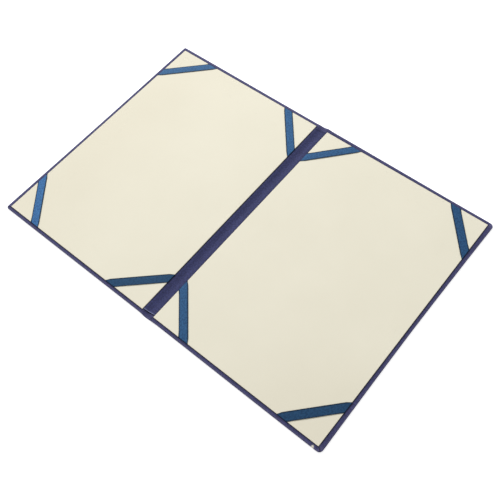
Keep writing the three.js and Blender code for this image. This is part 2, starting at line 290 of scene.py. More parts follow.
FLAT_INSET = 5 * MM  # from the edge to where the plain grid of the underside starts
UNDER_INSETS = np.array([5, 3, 1.6]) * MM
LOW_ANGLES = np.radians([-90, -67, -45, -22, 0])
WALL_SHARES = (0.33, 0.67)
HIGH_ANGLES = np.radians([0, 22, 45, 67, 90])
OVER_INSETS = np.array([1.3, 2, 2.7, 3.1, 3.5, 3.9, 4.3, 4.7, 5.3, 6.2, 7.5, 9, 12, 14.6, 15]) * MM
SEAM_PLACES = np.array([0, 0.12, 0.35, 0.8, 1.6, 3]) * MM  # along an edge, from the corner's mitre
SEAM_REACH = SEAM_PLACES[-1]
SEAM_CLEARANCE = 1 * MM  # kept free between the seam's own samples and the others
SAMPLE_MARGIN = 2 * MM
ARC_STEPS = 10
# Along the head and the tail the samples lie close together up to SPINE_NEAR from the middle of the spine,
# wider up to SPINE_FAR, and widest from there on.
SPINE_NEAR = 9 * MM
SPINE_FAR = 20 * MM
NEAR_STEP = 0.5 * MM
FAR_STEP = 1.5 * MM
EDGE_STEP = 6 * MM


def liner_edges(side):
    """Distances of a liner's outer, head and tail edges from the middle of the cover."""
    short = LINER_SHORT[side]
    return LINER_OUTER_X - short["outer"], LINER_END_Y - short["head"], LINER_END_Y - short["tail"]


def past_liner(x, y, side):
    """How far a place in the back cover lies outside the liner's nearest edge."""
    outer, head, tail = liner_edges(side)
    return np.maximum(np.maximum(LINER_INNER_X - x, x - outer), np.maximum(y - head, -tail - y))


def strip_slope(x):
    """Height of the underside of the spine strip, away from the turned-in cloth at the ends."""
    low = CLOTH + STRIP_SPAN
    return low + (BOARD_TOP - low) * smoothstep(np.abs(x), SAG_START, BOARD_X)


def cloth_height(x):
    """Height of the top of the turned-in cloth at the head and the tail."""
    low = 2 * CLOTH + SPINE_LAYERS_GAP
    return low + (CLOTH_TOP - low) * smoothstep(np.abs(x), SAG_START, BOARD_X)


def strip_end(x, end):
    """Y of the spine strip's cut end at the head or the tail, which isn't quite square."""
    return end * STRIP_END_Y + STRIP_SKEW * np.clip(x, -LINER_INNER_X, LINER_INNER_X)


class Outline:
    """The edge of one cover's cloth, in the back cover's place. `end` is 1 at the head and -1 at the tail."""

    def __init__(self, side):
        self.side = side
        self.corners = CORNERS[side]

    def outer_x(self, y):
        return OUTER_X + SIDE_SLACK[self.side] + SIDE_FLARE[self.side] * abs(y / END_Y) ** SIDE_FLARE_POWER

    def end_y(self, end):
        """Distance of the head or tail edge from the middle at the outer corner."""
        return END_Y + CORNER_SLACK[self.side][end]

    def edge_y(self, x, end):
        """The same anywhere along the edge, with the swell at the spine."""
        at_spine = END_Y + SPINE_SLACK[end]
        plain = at_spine + (self.end_y(end) - at_spine) * float(smoothstep(x, SLACK_START, SLACK_END))
        if end == -1:
            return plain + TAIL_SWELL * math.exp(-((x / TAIL_SWELL_REACH[self.side]) ** 2))
        swell = BULGE * math.exp(-(((self.side * x - HEAD_SWELL_CENTRE) / SWELL_REACH) ** 2))
        if self.side == -1:
            return plain + swell
        grown = float(smoothstep(x, 0, HEAD_FLARE_FULL))
        left = 1 - float(smoothstep(x, HEAD_FLARE_FALLS, HEAD_FLARE_END))
        return plain + swell + HEAD_FLARE * grown * left


def wrap_profile():
    """Stations of the cloth from the flat underside, round the edge and in over the board.

    Each is (part, place): on "under" and "over" the place is the inset from the edge, on "low" and "high"
    it is the angle of the rounding, and on "wall" it is the share of the wall's height.
    """
    parts = {"under": UNDER_INSETS, "low": LOW_ANGLES, "wall": WALL_SHARES, "high": HIGH_ANGLES}
    parts["over"] = OVER_INSETS
    return [(part, place) for part, places in parts.items() for place in places]


def profile_point(station, height, round_by, inward):
    """Inset, height and length of cloth past the underside's edge.

    `inward` is the depth under the cloth's outer face.
    """
    part, place = station
    straight = height - 2 * round_by
    quarter = round_by * math.pi / 2
    radius = round_by - inward
    if part == "under":
        return np.full_like(height, place), np.full_like(height, inward), round_by - place
    if part == "low":
        run = (place + math.pi / 2) * round_by
        return round_by - radius * math.cos(place), round_by + radius * math.sin(place), run
    if part == "wall":
        return np.full_like(height, inward), round_by + straight * place, quarter + straight * place
    if part == "high":
        run = quarter + straight + place * round_by
        return round_by - radius * math.cos(place), height - round_by + radius * math.sin(place), run
    return np.full_like(height, place), height - inward, 2 * quarter + straight + place - round_by


def outline_samples():
    """The samples of a cover's edge: along the head, down the outer side and back along the tail.

    Each is (kind, place, end), with end 1 for the head's half and -1 for the tail's.
    """
    last_x = OUTER_X - FLAT_INSET - SEAM_REACH - SAMPLE_MARGIN
    last_y = END_Y - FLAT_INSET - SEAM_REACH - SAMPLE_MARGIN
    by_spine = ((0, SPINE_NEAR, NEAR_STEP), (SPINE_NEAR, SPINE_FAR, FAR_STEP))
    along_x = stations(*by_spine, (SPINE_FAR, last_x, EDGE_STEP))
    along_y = stations((-last_y, last_y, EDGE_STEP))[::-1]
    arc = np.linspace(math.pi / 2, 0, ARC_STEPS + 1)[1:-1]
    head = [("x", x) for x in along_x] + [("x_seam", m) for m in SEAM_PLACES[::-1]]
    side = [("y_seam", m) for m in SEAM_PLACES] + [("y", y) for y in along_y]
    side += [("y_seam_tail", m) for m in SEAM_PLACES[::-1]]
    samples = [(kind, place, 1) for kind, place in head]
    samples += [("arc", angle, 1) for angle in arc]
    samples += [(kind, place, 1) for kind, place in side]
    samples += [("arc", angle, -1) for angle in arc[::-1]]
    samples += [(kind, place, -1) for kind, place in head[::-1]]
    return samples


def corner_nearness(sample):
    """1 at a corner's mitre and 0 from the end of the seam's own samples on."""
    kind, place, _ = sample
    if kind == "arc":
        return 1.0
    if "seam" in kind:
        return float(1 - smoothstep(place, 0, SEAM_REACH))
    return 0.0


def place_sample(sample, outline, inset, past):
    """XY of a sample at an inset from the edge, and the same place on the cloth laid out flat."""
    kind, place, end = sample
    corner = outline.corners[end]
    drawn_in = max(corner, inset)
    seam = SEAM_REACH + SEAM_CLEARANCE
    if kind == "arc":
        direction = np.array([math.cos(place), math.sin(place)])
        edge_y = outline.end_y(end)
        edge = np.array([outline.outer_x(end * (edge_y - drawn_in)), edge_y])
        point = edge - drawn_in + max(corner - inset, 0) * direction
        flat = edge - corner + (corner + past) * direction
    elif kind in ("x", "x_seam"):
        limit = outline.outer_x(end * (outline.end_y(end) - drawn_in)) - drawn_in
        x = min(place, limit - seam) if kind == "x" else limit - place
        edge_y = outline.edge_y(x, end)
        point = np.array([x, edge_y - inset])
        flat = np.array([x, edge_y + past])
    else:
        head = outline.end_y(1) - max(outline.corners[1], inset)
        tail = outline.end_y(-1) - max(outline.corners[-1], inset)
        if kind == "y":
            y = np.clip(place, -(tail - seam), head - seam)
        elif kind == "y_seam":
            y = head - place
        else:
            y = place - tail
        edge_x = outline.outer_x(y)
        return np.array([edge_x - inset, y]), np.array([edge_x + past, y])
    return point * (1, end), flat * (1, end)


def mitre_lift(sample, part, inset):
    """The side flap lies over the head and tail flaps along the corner's seam."""
    if part not in ("high", "over"):
        return 0.0
    kind, place, _ = sample
    on_side_flap = kind == "arc" and place < math.pi / 4 or kind.startswith("y_seam") and place > 0
    if not on_side_flap:
        return 0.0
    distance = 0 if kind == "arc" else place
    return MITRE_STEP * math.exp(-distance / MITRE_FADE) * float(smoothstep(inset, *MITRE_RISE))


def groove(x):
    """The outside is pressed in a little along the joint between spine and board."""
    middle = FOLD_X + GROOVE_WIDTH / 2
    return GROOVE_DEPTH * (1 - smoothstep(np.abs(x - middle), 0, GROOVE_WIDTH / 2))


def cloth_ring(samples, outline, station, inward):
    """The points of one station all round a cover, and their places on the cloth laid out flat."""
    points = []
    flats = []
    for sample in samples:
        x = sample[1] if sample[0] == "x" else OUTER_X
        height = cloth_height(x)
        nearness = corner_nearness(sample)
        round_by = min(EDGE_ROUND + CORNER_SOFTER * nearness, float(height) / 2 - SPINE_LAYERS_GAP / 4)
        inset, z, past = profile_point(station, height, round_by, inward)
        (px, py), flat = place_sample(sample, outline, float(inset), float(past))
        z = float(z) + mitre_lift(sample, station[0], float(inset))
        if inward == 0 and station[0] == "under":
            z += float(groove(px))
        points.append((px, py, z))
        flats.append(flat)
    return points, flats


def cloth_wear_and_highlight(station, samples, side):
    """How pale each sample is painted: rubbed edges and corners, and partly a painted highlight on lit
    borders and flaps.
    """
    part, place = station
    if part == "over":
        worn = {
            flap: most * (1 - float(smoothstep(place, OVER_WEAR_START, reach)))
            for flap, (most, reach) in OVER_WEAR_AND_HIGHLIGHT[side].items()
        }
        wear = []
        for kind, place_along, end in samples:
            if kind.startswith("x"):
                wear.append(worn["head" if end == 1 else "tail"])
            else:
                wear.append(worn["side"] + CORNER_WEAR_AND_HIGHLIGHT * corner_nearness((kind, place_along, end)))
        return wear
    near = np.array([corner_nearness(sample) for sample in samples])
    return EDGE_WEAR[part] * (PLAIN_EDGE_SHARE + (1 - PLAIN_EDGE_SHARE) * near)


def seam_shade(sample, side, inset):
    """1 where shade is painted along the seam that runs from a tail corner's tip to the corner of the liner.

    No shade is painted on the seams at the head.
    """
    kind, place, end = sample
    corner = CORNERS[side][end]
    if end == 1:
        return 0.0
    if kind == "arc":
        return math.exp(-(((place - math.pi / 4) * max(corner - inset, 0) / MITRE_SHADE) ** 2))
    return math.exp(-((place / MITRE_SHADE) ** 2)) if "seam" in kind and inset > corner else 0.0


def cloth_crease_shade(station, samples, ring, side):
    """1 where shade is painted: in the creases beside a liner, before the strip's cut end, along a corner's
    seam.
    """
    part, inset = station
    if part == "high":
        return [seam_shade(s, side, 0) for s in samples]
    if part != "over":
        return np.zeros(len(samples))
    x, y, _ = np.array(ring).T
    # Painted shade beside the liner's edges.
    crease_shade = 1 - smoothstep(past_liner(x, y, side), 0, CREASE_SHADE_WIDTH)
    # Painted shadow of the strip's raised cut end, on the turned-in cloth at the tail.
    end = np.sign(y)
    from_strip = end * (y - strip_end(side * x, end))
    strip_end_shadow = (1 - smoothstep(from_strip, *STRIP_END_SHADOW)) * (x < LINER_INNER_X) * (y < 0)
    crease_shade = np.maximum(crease_shade, strip_end_shadow)
    return np.maximum(crease_shade, [seam_shade(s, side, inset) for s in samples])


def underside_grid(samples, inward, first_ring):
    """The plain underside between the first rings at the head, the outer side and the tail."""
    ring = np.array(first_ring)
    head = [i for i, s in enumerate(samples) if s[2] == 1 and s[0].startswith("x")]
    tail = [i for i, s in enumerate(samples) if s[2] == -1 and s[0].startswith("x")][::-1]
    side = [i for i, s in enumerate(samples) if s[0].startswith("y")]
    straight = np.interp(ring[side, 1], ring[[tail[-1], head[-1]], 1], ring[[tail[-1], head[-1]], 0])
    bow = ring[side, 0] - straight
    rows = []
    for h, t in zip(head, tail):
        ends = [ring[t, 1], ring[h, 1]]
        column = np.interp(ring[side, 1], ring[[side[-1], side[0]], 1], ends)
        x = np.interp(column, ends, [ring[t, 0], ring[h, 0]])
        x = x + bow * (ring[h, 0] / ring[head[-1], 0]) ** 2
        z = inward + (groove(x) if inward == 0 else np.zeros_like(x))
        rows.append(np.stack([x, column, z], axis=1))
    return np.array(rows)


def cover_cloth(name, side):
    """Half of the cover's one sheet of cloth: from the middle of the spine round one board."""
    outline = Outline(side)
    samples = outline_samples()
    profile = wrap_profile()
    points = []
    flats = []
    wear = []
    crease_shade = []
    faces = []
    for inward in (0, CLOTH):
        first = len(points)
        rings = [cloth_ring(samples, outline, station, inward) for station in profile]
        for station, (ring, flat) in zip(profile, rings):
            points.extend(ring)
            flats.extend(flat)
            wear.extend(cloth_wear_and_highlight(station, samples, side))
            crease_shade.extend(cloth_crease_shade(station, samples, ring, side))
        faces.extend(grid_faces(len(profile), len(samples), first))
        under = underside_grid(samples, inward, rings[0][0])
        faces.extend(grid_faces(*under.shape[:2], len(points)))
        points.extend(under.reshape(-1, 3))
        flats.extend(under.reshape(-1, 3)[:, :2])
        plain = np.zeros(under.shape[0] * under.shape[1])
        wear.extend(plain)
        crease_shade.extend(plain)
    layer = len(points) // 2
    around = len(samples)
    wrapped = len(profile) * around
    flap_edge = np.arange(wrapped - around, wrapped)
    head_cut = np.arange(0, wrapped, around)
    tail_cut = np.arange(around - 1, wrapped, around)
    across_spine = np.arange(wrapped, wrapped + under.shape[1])
    for line in (flap_edge, head_cut, tail_cut, across_spine):
        faces.extend(wall_faces(line, layer))
    placed = np.asarray(points) * (side, 1, 1)
    return new_object(name, placed, faces, np.asarray(flats) * (side, 1), {"wear": wear, "crease_shade": crease_shade})


# Spine strip

def strip_lift(y):
    """The strip climbs onto the turned-in cloth towards the head and the tail."""
    inner = END_Y - TURN_IN
    return CLOTH * smoothstep(np.abs(y), inner - TURN_IN_RAMP, inner)


def spine_strip(name, side):
    """Half of the strip along the inside of the spine, from the middle of the spine to under one liner."""
    near, fine, wide = STRIP_STEPS
    xs = stations((0, STRIP_FINE[0], near), (*STRIP_FINE, fine), (STRIP_FINE[1], STRIP_X, wide))
    inner = STRIP_END_Y - STRIP_SQUARE_END
    tail_end = (-STRIP_END_Y, -inner, STRIP_END_STEP)
    head_end = (inner, STRIP_END_Y, STRIP_END_STEP)
    ys = stations(tail_end, (-inner, inner, STRIP_LONG_STEP), head_end)
    signed_x = side * xs[:, None]
    skew = strip_end(signed_x, 0)
    y = ys[None, :] + skew * smoothstep(np.abs(ys), inner, STRIP_END_Y)[None, :]
    curl = STRIP_CURL * smoothstep(np.abs(ys), STRIP_END_Y - STRIP_CURL_LENGTH, STRIP_END_Y)[None, :]
    curl = curl * (1 - smoothstep(xs, LINER_INNER_X - STRIP_CURL_FADE, LINER_INNER_X))[:, None]
    ripple = RIPPLE * np.sin(ys / RIPPLE_LENGTH + RIPPLE_DRIFT * np.sin(ys / RIPPLE_DRIFT_LENGTH))[None, :]
    ripple = ripple * (1 - smoothstep(xs, *RIPPLE_EDGE))[:, None]
    low = strip_slope(xs)[:, None] + strip_lift(y) + STRIP_SEAT + curl + STRIP_LIFT + ripple
    run = np.concatenate([[0], np.cumsum(np.hypot(np.diff(xs), np.diff(strip_slope(xs))))])
    # Paler at the tail's cut end: fray, and partly a painted highlight where its raised edge catches the
    # light.
    end = smoothstep(-ys, STRIP_END_Y - CUT_END_FRAY_AND_HIGHLIGHT[0], STRIP_END_Y - CUT_END_FRAY_AND_HIGHLIGHT[1])
    # Painted shade beside each liner's edge, where the liner's shadow falls on the strip.
    liner_shade = smoothstep(xs, LINER_INNER_X - CREASE_SHADE_WIDTH, LINER_INNER_X)
    values = (signed_x, side * run[:, None], end[None, :], liner_shade[:, None])
    x, along, wear, crease_shade = (np.broadcast_to(v, y.shape) for v in values)
    return slab(name, x, y, (low + STRIP_THICKNESS, low), along, {"wear": wear, "crease_shade": crease_shade})


# Liners

LINER_EDGE_PLACES = np.array([0, 0.03, 0.08, 0.15, 0.22, 0.5, 1.5, 4]) * MM


def liner_places(low, high):
    """Places across a liner, close together where its edges round over."""
    inset = LINER_EDGE_PLACES[-1]
    middle = stations((low + inset, high - inset, LINER_STEP))[1:-1]
    return np.concatenate([low + LINER_EDGE_PLACES, middle, (high - LINER_EDGE_PLACES)[::-1]])


def liner(name, side, seed):
    """A card panel with softly rounded edges. `seed` shifts its faint warp."""
    outer, head, tail = liner_edges(side)
    x, y = np.meshgrid(liner_places(LINER_INNER_X, outer), liner_places(-tail, head), indexing="ij")
    from_edge = -past_liner(x, y, side)
    short = np.clip(LINER_EDGE_ROUND - from_edge, 0, LINER_EDGE_ROUND)
    fall = LINER_EDGE_ROUND - np.sqrt(LINER_EDGE_ROUND**2 - short**2)
    wave = np.sin(x / LINER_WARP_LENGTHS[0] + seed) * np.sin(y / LINER_WARP_LENGTHS[1] + 2 * seed)
    warp = -LINER_WARP * (0.5 + 0.5 * wave) * smoothstep(from_edge, 0, LINER_WARP_START)
    top = LINER_TOP - fall + warp
    bottom = np.full_like(top, LINER_BOTTOM)
    rubbed = 1 - smoothstep(from_edge, 0, LINER_RUB_REACH)
    # The paper has yellowed a little where hands hold it: along the front cover's outer edge, and round the
    # back cover's outer tail corner.
    from_hand = outer - x if side == -1 else np.hypot(outer - x, y + tail)
    handled = 1 - smoothstep(from_hand, HANDLED_FULL, HANDLED_REACH)
    wear = np.maximum(rubbed, handled)
    return slab(name, side * x, y, (top, bottom), side * x, {"wear": wear})


# Ribbons

HALF_COLUMNS = [0.28, 0.55, 0.76, 0.88, 0.95, 0.985, 1]
RIBBON_COLUMNS = np.array([-share for share in HALF_COLUMNS[::-1]] + [0] + HALF_COLUMNS)
QUARTER_STEPS = 5
TAIL_SHARES = (0.25, 0.6, 1.0)
RIBBON_STRETCHES = ((0, 0.12, 0.012), (0.12, 0.88, 0.035), (0.88, 1, 0.012))


def ribbon_sections():
    """Sections of a ribbon round a liner's edge, and the whole length of cloth round it.

    Each section is (length past the edge, angle of the face, height of the rounding's centre). The angle is
    90 degrees where the ribbon faces up and -90 degrees where it faces down.
    """
    quarter = (RIBBON_SEAT + LINER_EDGE_ROUND) * math.pi / 2
    wall = LINER_TOP - LINER_BOTTOM - 2 * LINER_EDGE_ROUND
    sections = []
    for start, first_angle, centre_z in (
        (0, 90, LINER_TOP - LINER_EDGE_ROUND),
        (quarter + wall, 0, LINER_BOTTOM + LINER_EDGE_ROUND),
    ):
        for k in range(QUARTER_STEPS + 1):
            share = k / QUARTER_STEPS
            sections.append((start + quarter * share, math.radians(first_angle - 90 * share), centre_z))
    return sections, 2 * quarter + wall


def ribbon_section_point(section, depth):
    """How far past the liner's edge a section's point lies, and how high.

    `depth` is the distance over the ribbon's inner face.
    """
    _, angle, centre_z = section
    radius = LINER_EDGE_ROUND + RIBBON_SEAT + depth
    return radius * math.cos(angle) - LINER_EDGE_ROUND, centre_z + radius * math.sin(angle)


def ribbon_thickness(share):
    """Thicker along the two woven edges."""
    return RIBBON_THICKNESS + SELVEDGE * smoothstep(np.abs(share), SELVEDGE_START, SELVEDGE_FULL)


def ribbon_rows(side_foot, end_foot, far_turn, near_turn, depth_share):
    """Rows of points across the ribbon, from its tail behind the side edge to its tail behind the end edge.

    In the corner's own frame: x is the distance in from the side edge and y from the head or tail edge.
    """
    length = math.hypot(side_foot, end_foot)
    shares = RIBBON_COLUMNS
    offsets = shares * RIBBON_WIDTH / 2
    depth = depth_share * ribbon_thickness(shares)
    at_side = side_foot + offsets * length / end_foot
    at_end = end_foot + offsets * length / side_foot
    turn = near_turn + (far_turn - near_turn) * (shares + 1) / 2
    sections, behind = ribbon_sections()

    def wrap(foot, slope):
        """Rows round an edge and along the tail behind it: past the edge, along it, up, and laid out flat."""
        rows = []
        for section in sections:
            placed = [ribbon_section_point(section, d) for d in depth]
            out = np.array([p[0] for p in placed])
            z = np.array([p[1] for p in placed])
            # Past the edge the ribbon runs nearly square to it.
            along = foot - turn + WRAP_SLANT * slope * section[0]
            rows.append((-out, along, z, -np.full_like(out, section[0])))
        last = LINER_BOTTOM - RIBBON_SEAT - depth
        for share in TAIL_SHARES:
            run = RIBBON_TAIL * share
            along = foot - turn + WRAP_SLANT * slope * behind + slope * run
            rows.append((np.full_like(last, run), along, last, np.full_like(last, -(behind + run))))
        return rows

    side_rows = wrap(at_side, side_foot / end_foot)
    end_rows = wrap(at_end, end_foot / side_foot)
    top_rows = []
    start = LINER_EDGE_ROUND
    for t in stations(*RIBBON_STRETCHES):
        # Straight lines from the side edge's crease to the end edge's crease, one for each column.
        x = start + (at_end - start) * t
        y = at_side + (start - at_side) * t
        along_side = np.hypot(x, y - at_side)
        along_end = np.hypot(x - at_end, y)
        x = x - turn * (1 - smoothstep(along_end, 0, RIBBON_TURN_REACH))
        y = y - turn * (1 - smoothstep(along_side, 0, RIBBON_TURN_REACH))
        middle = 4 * t * (1 - t)
        bow = RIBBON_SLACK * middle**SLACK_POWER * (1 - SLACK_CROWN * shares**2)
        z = LINER_TOP + RIBBON_SEAT + depth + bow
        top_rows.append((x, y, z))
    rows = []
    flats = []
    direction = np.array([end_foot, -side_foot]) / length
    normal = np.array([side_foot, end_foot]) / length
    for out, along, z, past in side_rows[::-1]:
        rows.append(np.stack([out, along, z], axis=-1))
        flats.append(np.stack([past, at_side + (side_foot / end_foot) * -past], axis=-1))
    for x, y, z in top_rows:
        rows.append(np.stack([x, y, z], axis=-1))
        flats.append(np.stack([x, y], axis=-1))
    for out, along, z, past in end_rows:
        rows.append(np.stack([along, out, z], axis=-1))
        flats.append(np.stack([at_end + (end_foot / side_foot) * -past, past], axis=-1))
    flats = np.array(flats) - np.array([0, side_foot])
    laid_out = np.stack([flats @ direction, flats @ normal], axis=-1)
    return np.array(rows), laid_out


def ribbon(place, values):
    """A satin ribbon across one corner of a liner, its ends folded round the edges, and its cut length."""
    cover, edge, end = place.split("_")
    outward = 1 if cover == "back" else -1
    head = 1 if end == "head" else -1
    short_x = LINER_SHORT[outward]["outer"] if edge == "outer" else 0
    short_y = LINER_SHORT[outward][end]
    corner_x = LINER_OUTER_X - short_x if edge == "outer" else LINER_INNER_X
    corner_y = LINER_END_Y - short_y
    inward_x = -outward if edge == "outer" else outward
    # The ribbon keeps its place where the liner is cut short.
    left = 1 - short_x / (values["end"] * MM) - short_y / (values["side"] * MM)
    feet = [values["side"] * left * MM, values["end"] * left * MM]
    turns = [values["far_turn"] * MM, values["near_turn"] * MM]
    points = []
    flats = []
    for depth_share in (1, 0):
        rows, laid_out = ribbon_rows(*feet, *turns, depth_share)
        points.append(rows.reshape(-1, 3))
        flats.append(laid_out.reshape(-1, 2))
    faces = slab_faces(*rows.shape[:2])
    points = np.concatenate(points)
    flats = np.concatenate(flats)
    placed = np.stack(
        [outward * corner_x + inward_x * points[:, 0], head * (corner_y - points[:, 1]), points[:, 2]],
        axis=-1,
    )
    # The ribbon's painted sheen, in place of the satin's highlight.
    painted_sheen = np.full(len(placed), values["painted_sheen"])
    made = new_object(f"{place}_satin_ribbon", placed, faces, flats, {"painted_sheen": painted_sheen})
    return made, float(np.ptp(flats[:, 0]))


# Materials

class Nodes:
    """A short way to write one material's nodes."""

    def __init__(self, name):
        self.material = bpy.data.materials.new(name)
        self.material.use_nodes = True
        self.tree = self.material.node_tree
        self.shader = self.tree.nodes["Principled BSDF"]
        self.plane = self.node("ShaderNodeUVMap", uv_map="cloth_plane").outputs[0]

    def node(self, kind, inputs=None, **settings):
        made = self.tree.nodes.new(kind)
        for key, value in settings.items():
            setattr(made, key, value)
        for key, value in (inputs or {}).items():
            self.put(made.inputs[key], value)
        return made

    def put(self, socket, value):
        if isinstance(value, bpy.types.NodeSocket):
            self.tree.links.new(value, socket)
        else:
            socket.default_value = value

    def surface(self, settings):
        """The material, once the shader's inputs are set to these values or linked to these nodes."""
        for name, value in settings.items():
            self.put(self.shader.inputs[name], value)
        return self.material

    def maths(self, operation, *values):
        made = self.node("ShaderNodeMath", operation=operation)
        for socket, value in zip(made.inputs, values):
            self.put(socket, value)
        return made.outputs[0]

    def scaled(self, vector, scale):
        made = self.node("ShaderNodeVectorMath", {0: vector}, operation="MULTIPLY")
        made.inputs[1].default_value = scale
        return made.outputs[0]

    def brightened(self, colour, factor):
        made = self.node("ShaderNodeVectorMath", {0: colour}, operation="SCALE")
        self.put(made.inputs["Scale"], factor)
        return made.outputs[0]

    def blend(self, first, second, share):
        """A number made of a share of the first and the rest of the second."""
        rest = self.maths("MULTIPLY", second, 1 - share)
        return self.maths("ADD", self.maths("MULTIPLY", first, share), rest)

    def noise(self, vector, scale, detail=3.0, roughness=0.55):
        inputs = {"Vector": vector, "Scale": scale, "Detail": detail, "Roughness": roughness}
        return self.node("ShaderNodeTexNoise", inputs, noise_dimensions="3D").outputs["Fac"]

    def ramp(self, value, low, high, to_low=0.0, to_high=1.0):
        inputs = {"Value": value, "From Min": low, "From Max": high, "To Min": to_low, "To Max": to_high}
        return self.node("ShaderNodeMapRange", inputs, clamp=True).outputs[0]

    def mix(self, share, first, second):
        made = self.node("ShaderNodeMix", data_type="RGBA")
        self.put(made.inputs["Factor"], share)
        for socket, value in ((made.inputs[6], first), (made.inputs[7], second)):
            self.put(socket, value)
        return made.outputs[2]

    def bump(self, height, strength, distance, normal=None):
        inputs = {"Height": height, "Strength": strength, "Distance": distance}
        made = self.node("ShaderNodeBump", inputs)
        if normal is not None:
            self.put(made.inputs["Normal"], normal)
        return made.outputs[0]

    def attribute(self, name):
        return self.node("ShaderNodeAttribute", attribute_name=name).outputs["Fac"]

    def weave(self, pitch):
        """Height of a plain weave: each thread is a ridge that passes over and under its neighbours."""
        place = self.node("ShaderNodeSeparateXYZ", {0: self.plane})
        turn = math.pi / pitch
        across = self.maths("SINE", self.maths("MULTIPLY", place.outputs[0], turn))
        along = self.maths("SINE", self.maths("MULTIPLY", place.outputs[1], turn))
        over = self.maths("GREATER_THAN", self.maths("MULTIPLY", across, along), 0.0)
        warp = self.maths("MULTIPLY", self.maths("ABSOLUTE", across), over)
        weft = self.maths("MULTIPLY", self.maths("ABSOLUTE", along), self.maths("SUBTRACT", 1.0, over))
        return self.maths("ADD", warp, weft)


def srgb(red, green, blue):
    """Linear RGBA for a colour written as 0 to 255 sRGB values."""
    def linear(value):
        share = value / 255
        return share / 12.92 if share <= 0.04045 else ((share + 0.055) / 1.055) ** 2.4
    return (linear(red), linear(green), linear(blue), 1.0)


CLOTH_PITCH = 0.42 * MM
SLUB_SCALE = (60, 1900, 1)  # repeats a metre along a thread and across it
CLOUD_SCALE = 38.0
MOTTLE_SCALE = 520.0
RUB_SCALE = 900.0
SLUB_SHARE = 0.6  # of the cloth's tone, the rest being the broad cloud
WEAVE_SHADE = (0.84, 1.08)  # between the threads and on them
MOTTLE_SHADE = (0.74, 1.26)
LEAST_RUB = 0.35  # how much of a worn place's wear is even, the rest being patchy
# Painted shade in the creases: how dark it gets at most, and its colour.
CREASE_SHADE_DEPTH = 0.85
CREASE_SHADE_COLOUR = srgb(20, 19, 28)
SHEEN_COLOUR = srgb(150, 150, 190)
VIOLET = srgb(51, 52, 91)
VIOLET_LIGHT = srgb(65, 65, 107)
# Paler violet: rubbed wear, and the painted highlight on the borders and corner flaps that face the lamp.
VIOLET_WORN_AND_LIT = srgb(112, 108, 150)
STRIP_VIOLET = srgb(42, 46, 87)
STRIP_LIGHT = srgb(54, 58, 102)
# The strip's pale cut end: fray, and partly a painted highlight on its raised edge.
CUT_EDGE_FRAY_AND_HIGHLIGHT = srgb(150, 158, 200)
PALE_CORE = srgb(226, 221, 208)
FLECK_PLACE = (OUTER_X - 8.2 * MM, -(END_Y + 2.0 * MM))
FLECK_SIZE = (1.6 * MM, 2.9 * MM)
FLECK_SCALE = 1500.0


def bookcloth(name, base, light, worn, fleck=False):
    """Woven bookcloth, with slubs in both thread directions, paler rubbed edges partly painted as highlight,
    and painted shade in creases.
    """
    n = Nodes(name)
    weave = n.weave(CLOTH_PITCH)
    along, across, _ = SLUB_SCALE
    slub_x = n.noise(n.scaled(n.plane, (along, across, 1)), 1.0, 2.0)
    slub_y = n.noise(n.scaled(n.plane, (across, along, 1)), 1.0, 2.0)
    slubs = n.maths("MULTIPLY", n.maths("ADD", slub_x, slub_y), 0.5)
    cloud = n.noise(n.plane, CLOUD_SCALE, 4.0)
    colour = n.mix(n.ramp(n.blend(slubs, cloud, SLUB_SHARE), 0.38, 0.62), base, light)
    shade = n.ramp(weave, 0.0, 1.0, *WEAVE_SHADE)
    mottle = n.ramp(n.noise(n.plane, MOTTLE_SCALE, 2.0, 0.6), 0.38, 0.62, *MOTTLE_SHADE)
    shaded = n.brightened(colour, n.maths("MULTIPLY", shade, mottle))
    rub_noise = n.ramp(n.noise(n.plane, RUB_SCALE, 3.0, 0.7), 0.42, 0.62)
    patchy = n.maths("ADD", LEAST_RUB, n.maths("MULTIPLY", rub_noise, 1 - LEAST_RUB))
    # Paler where rubbed. On the cover's head borders, the front cover's outer border and the corners' side
    # flaps this is partly a painted highlight, and at the strip's cut end partly a painted highlight on its
    # raised edge.
    colour = n.mix(n.maths("MULTIPLY", n.attribute("wear"), patchy), shaded, worn)
    # Painted shade in the creases beside the liners, before the strip's cut end and along the tail corners'
    # seams.
    colour = n.mix(n.maths("MULTIPLY", n.attribute("crease_shade"), CREASE_SHADE_DEPTH), colour, CREASE_SHADE_COLOUR)
    if fleck:
        colour = with_fleck(n, colour)
    fine = n.bump(weave, 0.55, 0.09 * MM)
    return n.surface({
        "Base Color": colour,
        "Roughness": 0.82,
        "Specular IOR Level": 0.35,
        "Sheen Weight": 0.12,
        "Sheen Roughness": 0.45,
        "Sheen Tint": SHEEN_COLOUR,
        "Normal": n.bump(slubs, 0.35, 0.08 * MM, fine),
    })


def with_fleck(n, colour):
    """The colour with a small worn spot, ragged at its rim, where the thread's pale core shows."""
    offset = n.node("ShaderNodeVectorMath", {0: n.plane}, operation="SUBTRACT")
    offset.inputs[1].default_value = (*FLECK_PLACE, 0)
    width, length = FLECK_SIZE
    stretched = n.scaled(offset.outputs[0], (1 / width, 1 / length, 1))
    distance = n.node("ShaderNodeVectorMath", {0: stretched}, operation="LENGTH").outputs["Value"]
    ragged = n.ramp(n.noise(n.plane, FLECK_SCALE, 3.0, 0.7), 0.3, 0.7, -0.55, 0.55)
    return n.mix(n.ramp(n.maths("ADD", distance, ragged), 0.75, 1.1, 1.0, 0.0), colour, PALE_CORE)


FIBRE_SCALE = (900, 2600, 1)
PAPER_CLOUD_SCALE = 14.0
FIBRE_SHARE = 0.55
CREAM = srgb(233, 228, 208)
CREAM_LIGHT = srgb(239, 234, 215)
CREAM_WORN = srgb(212, 202, 178)
PAPER_WEAR = 0.19


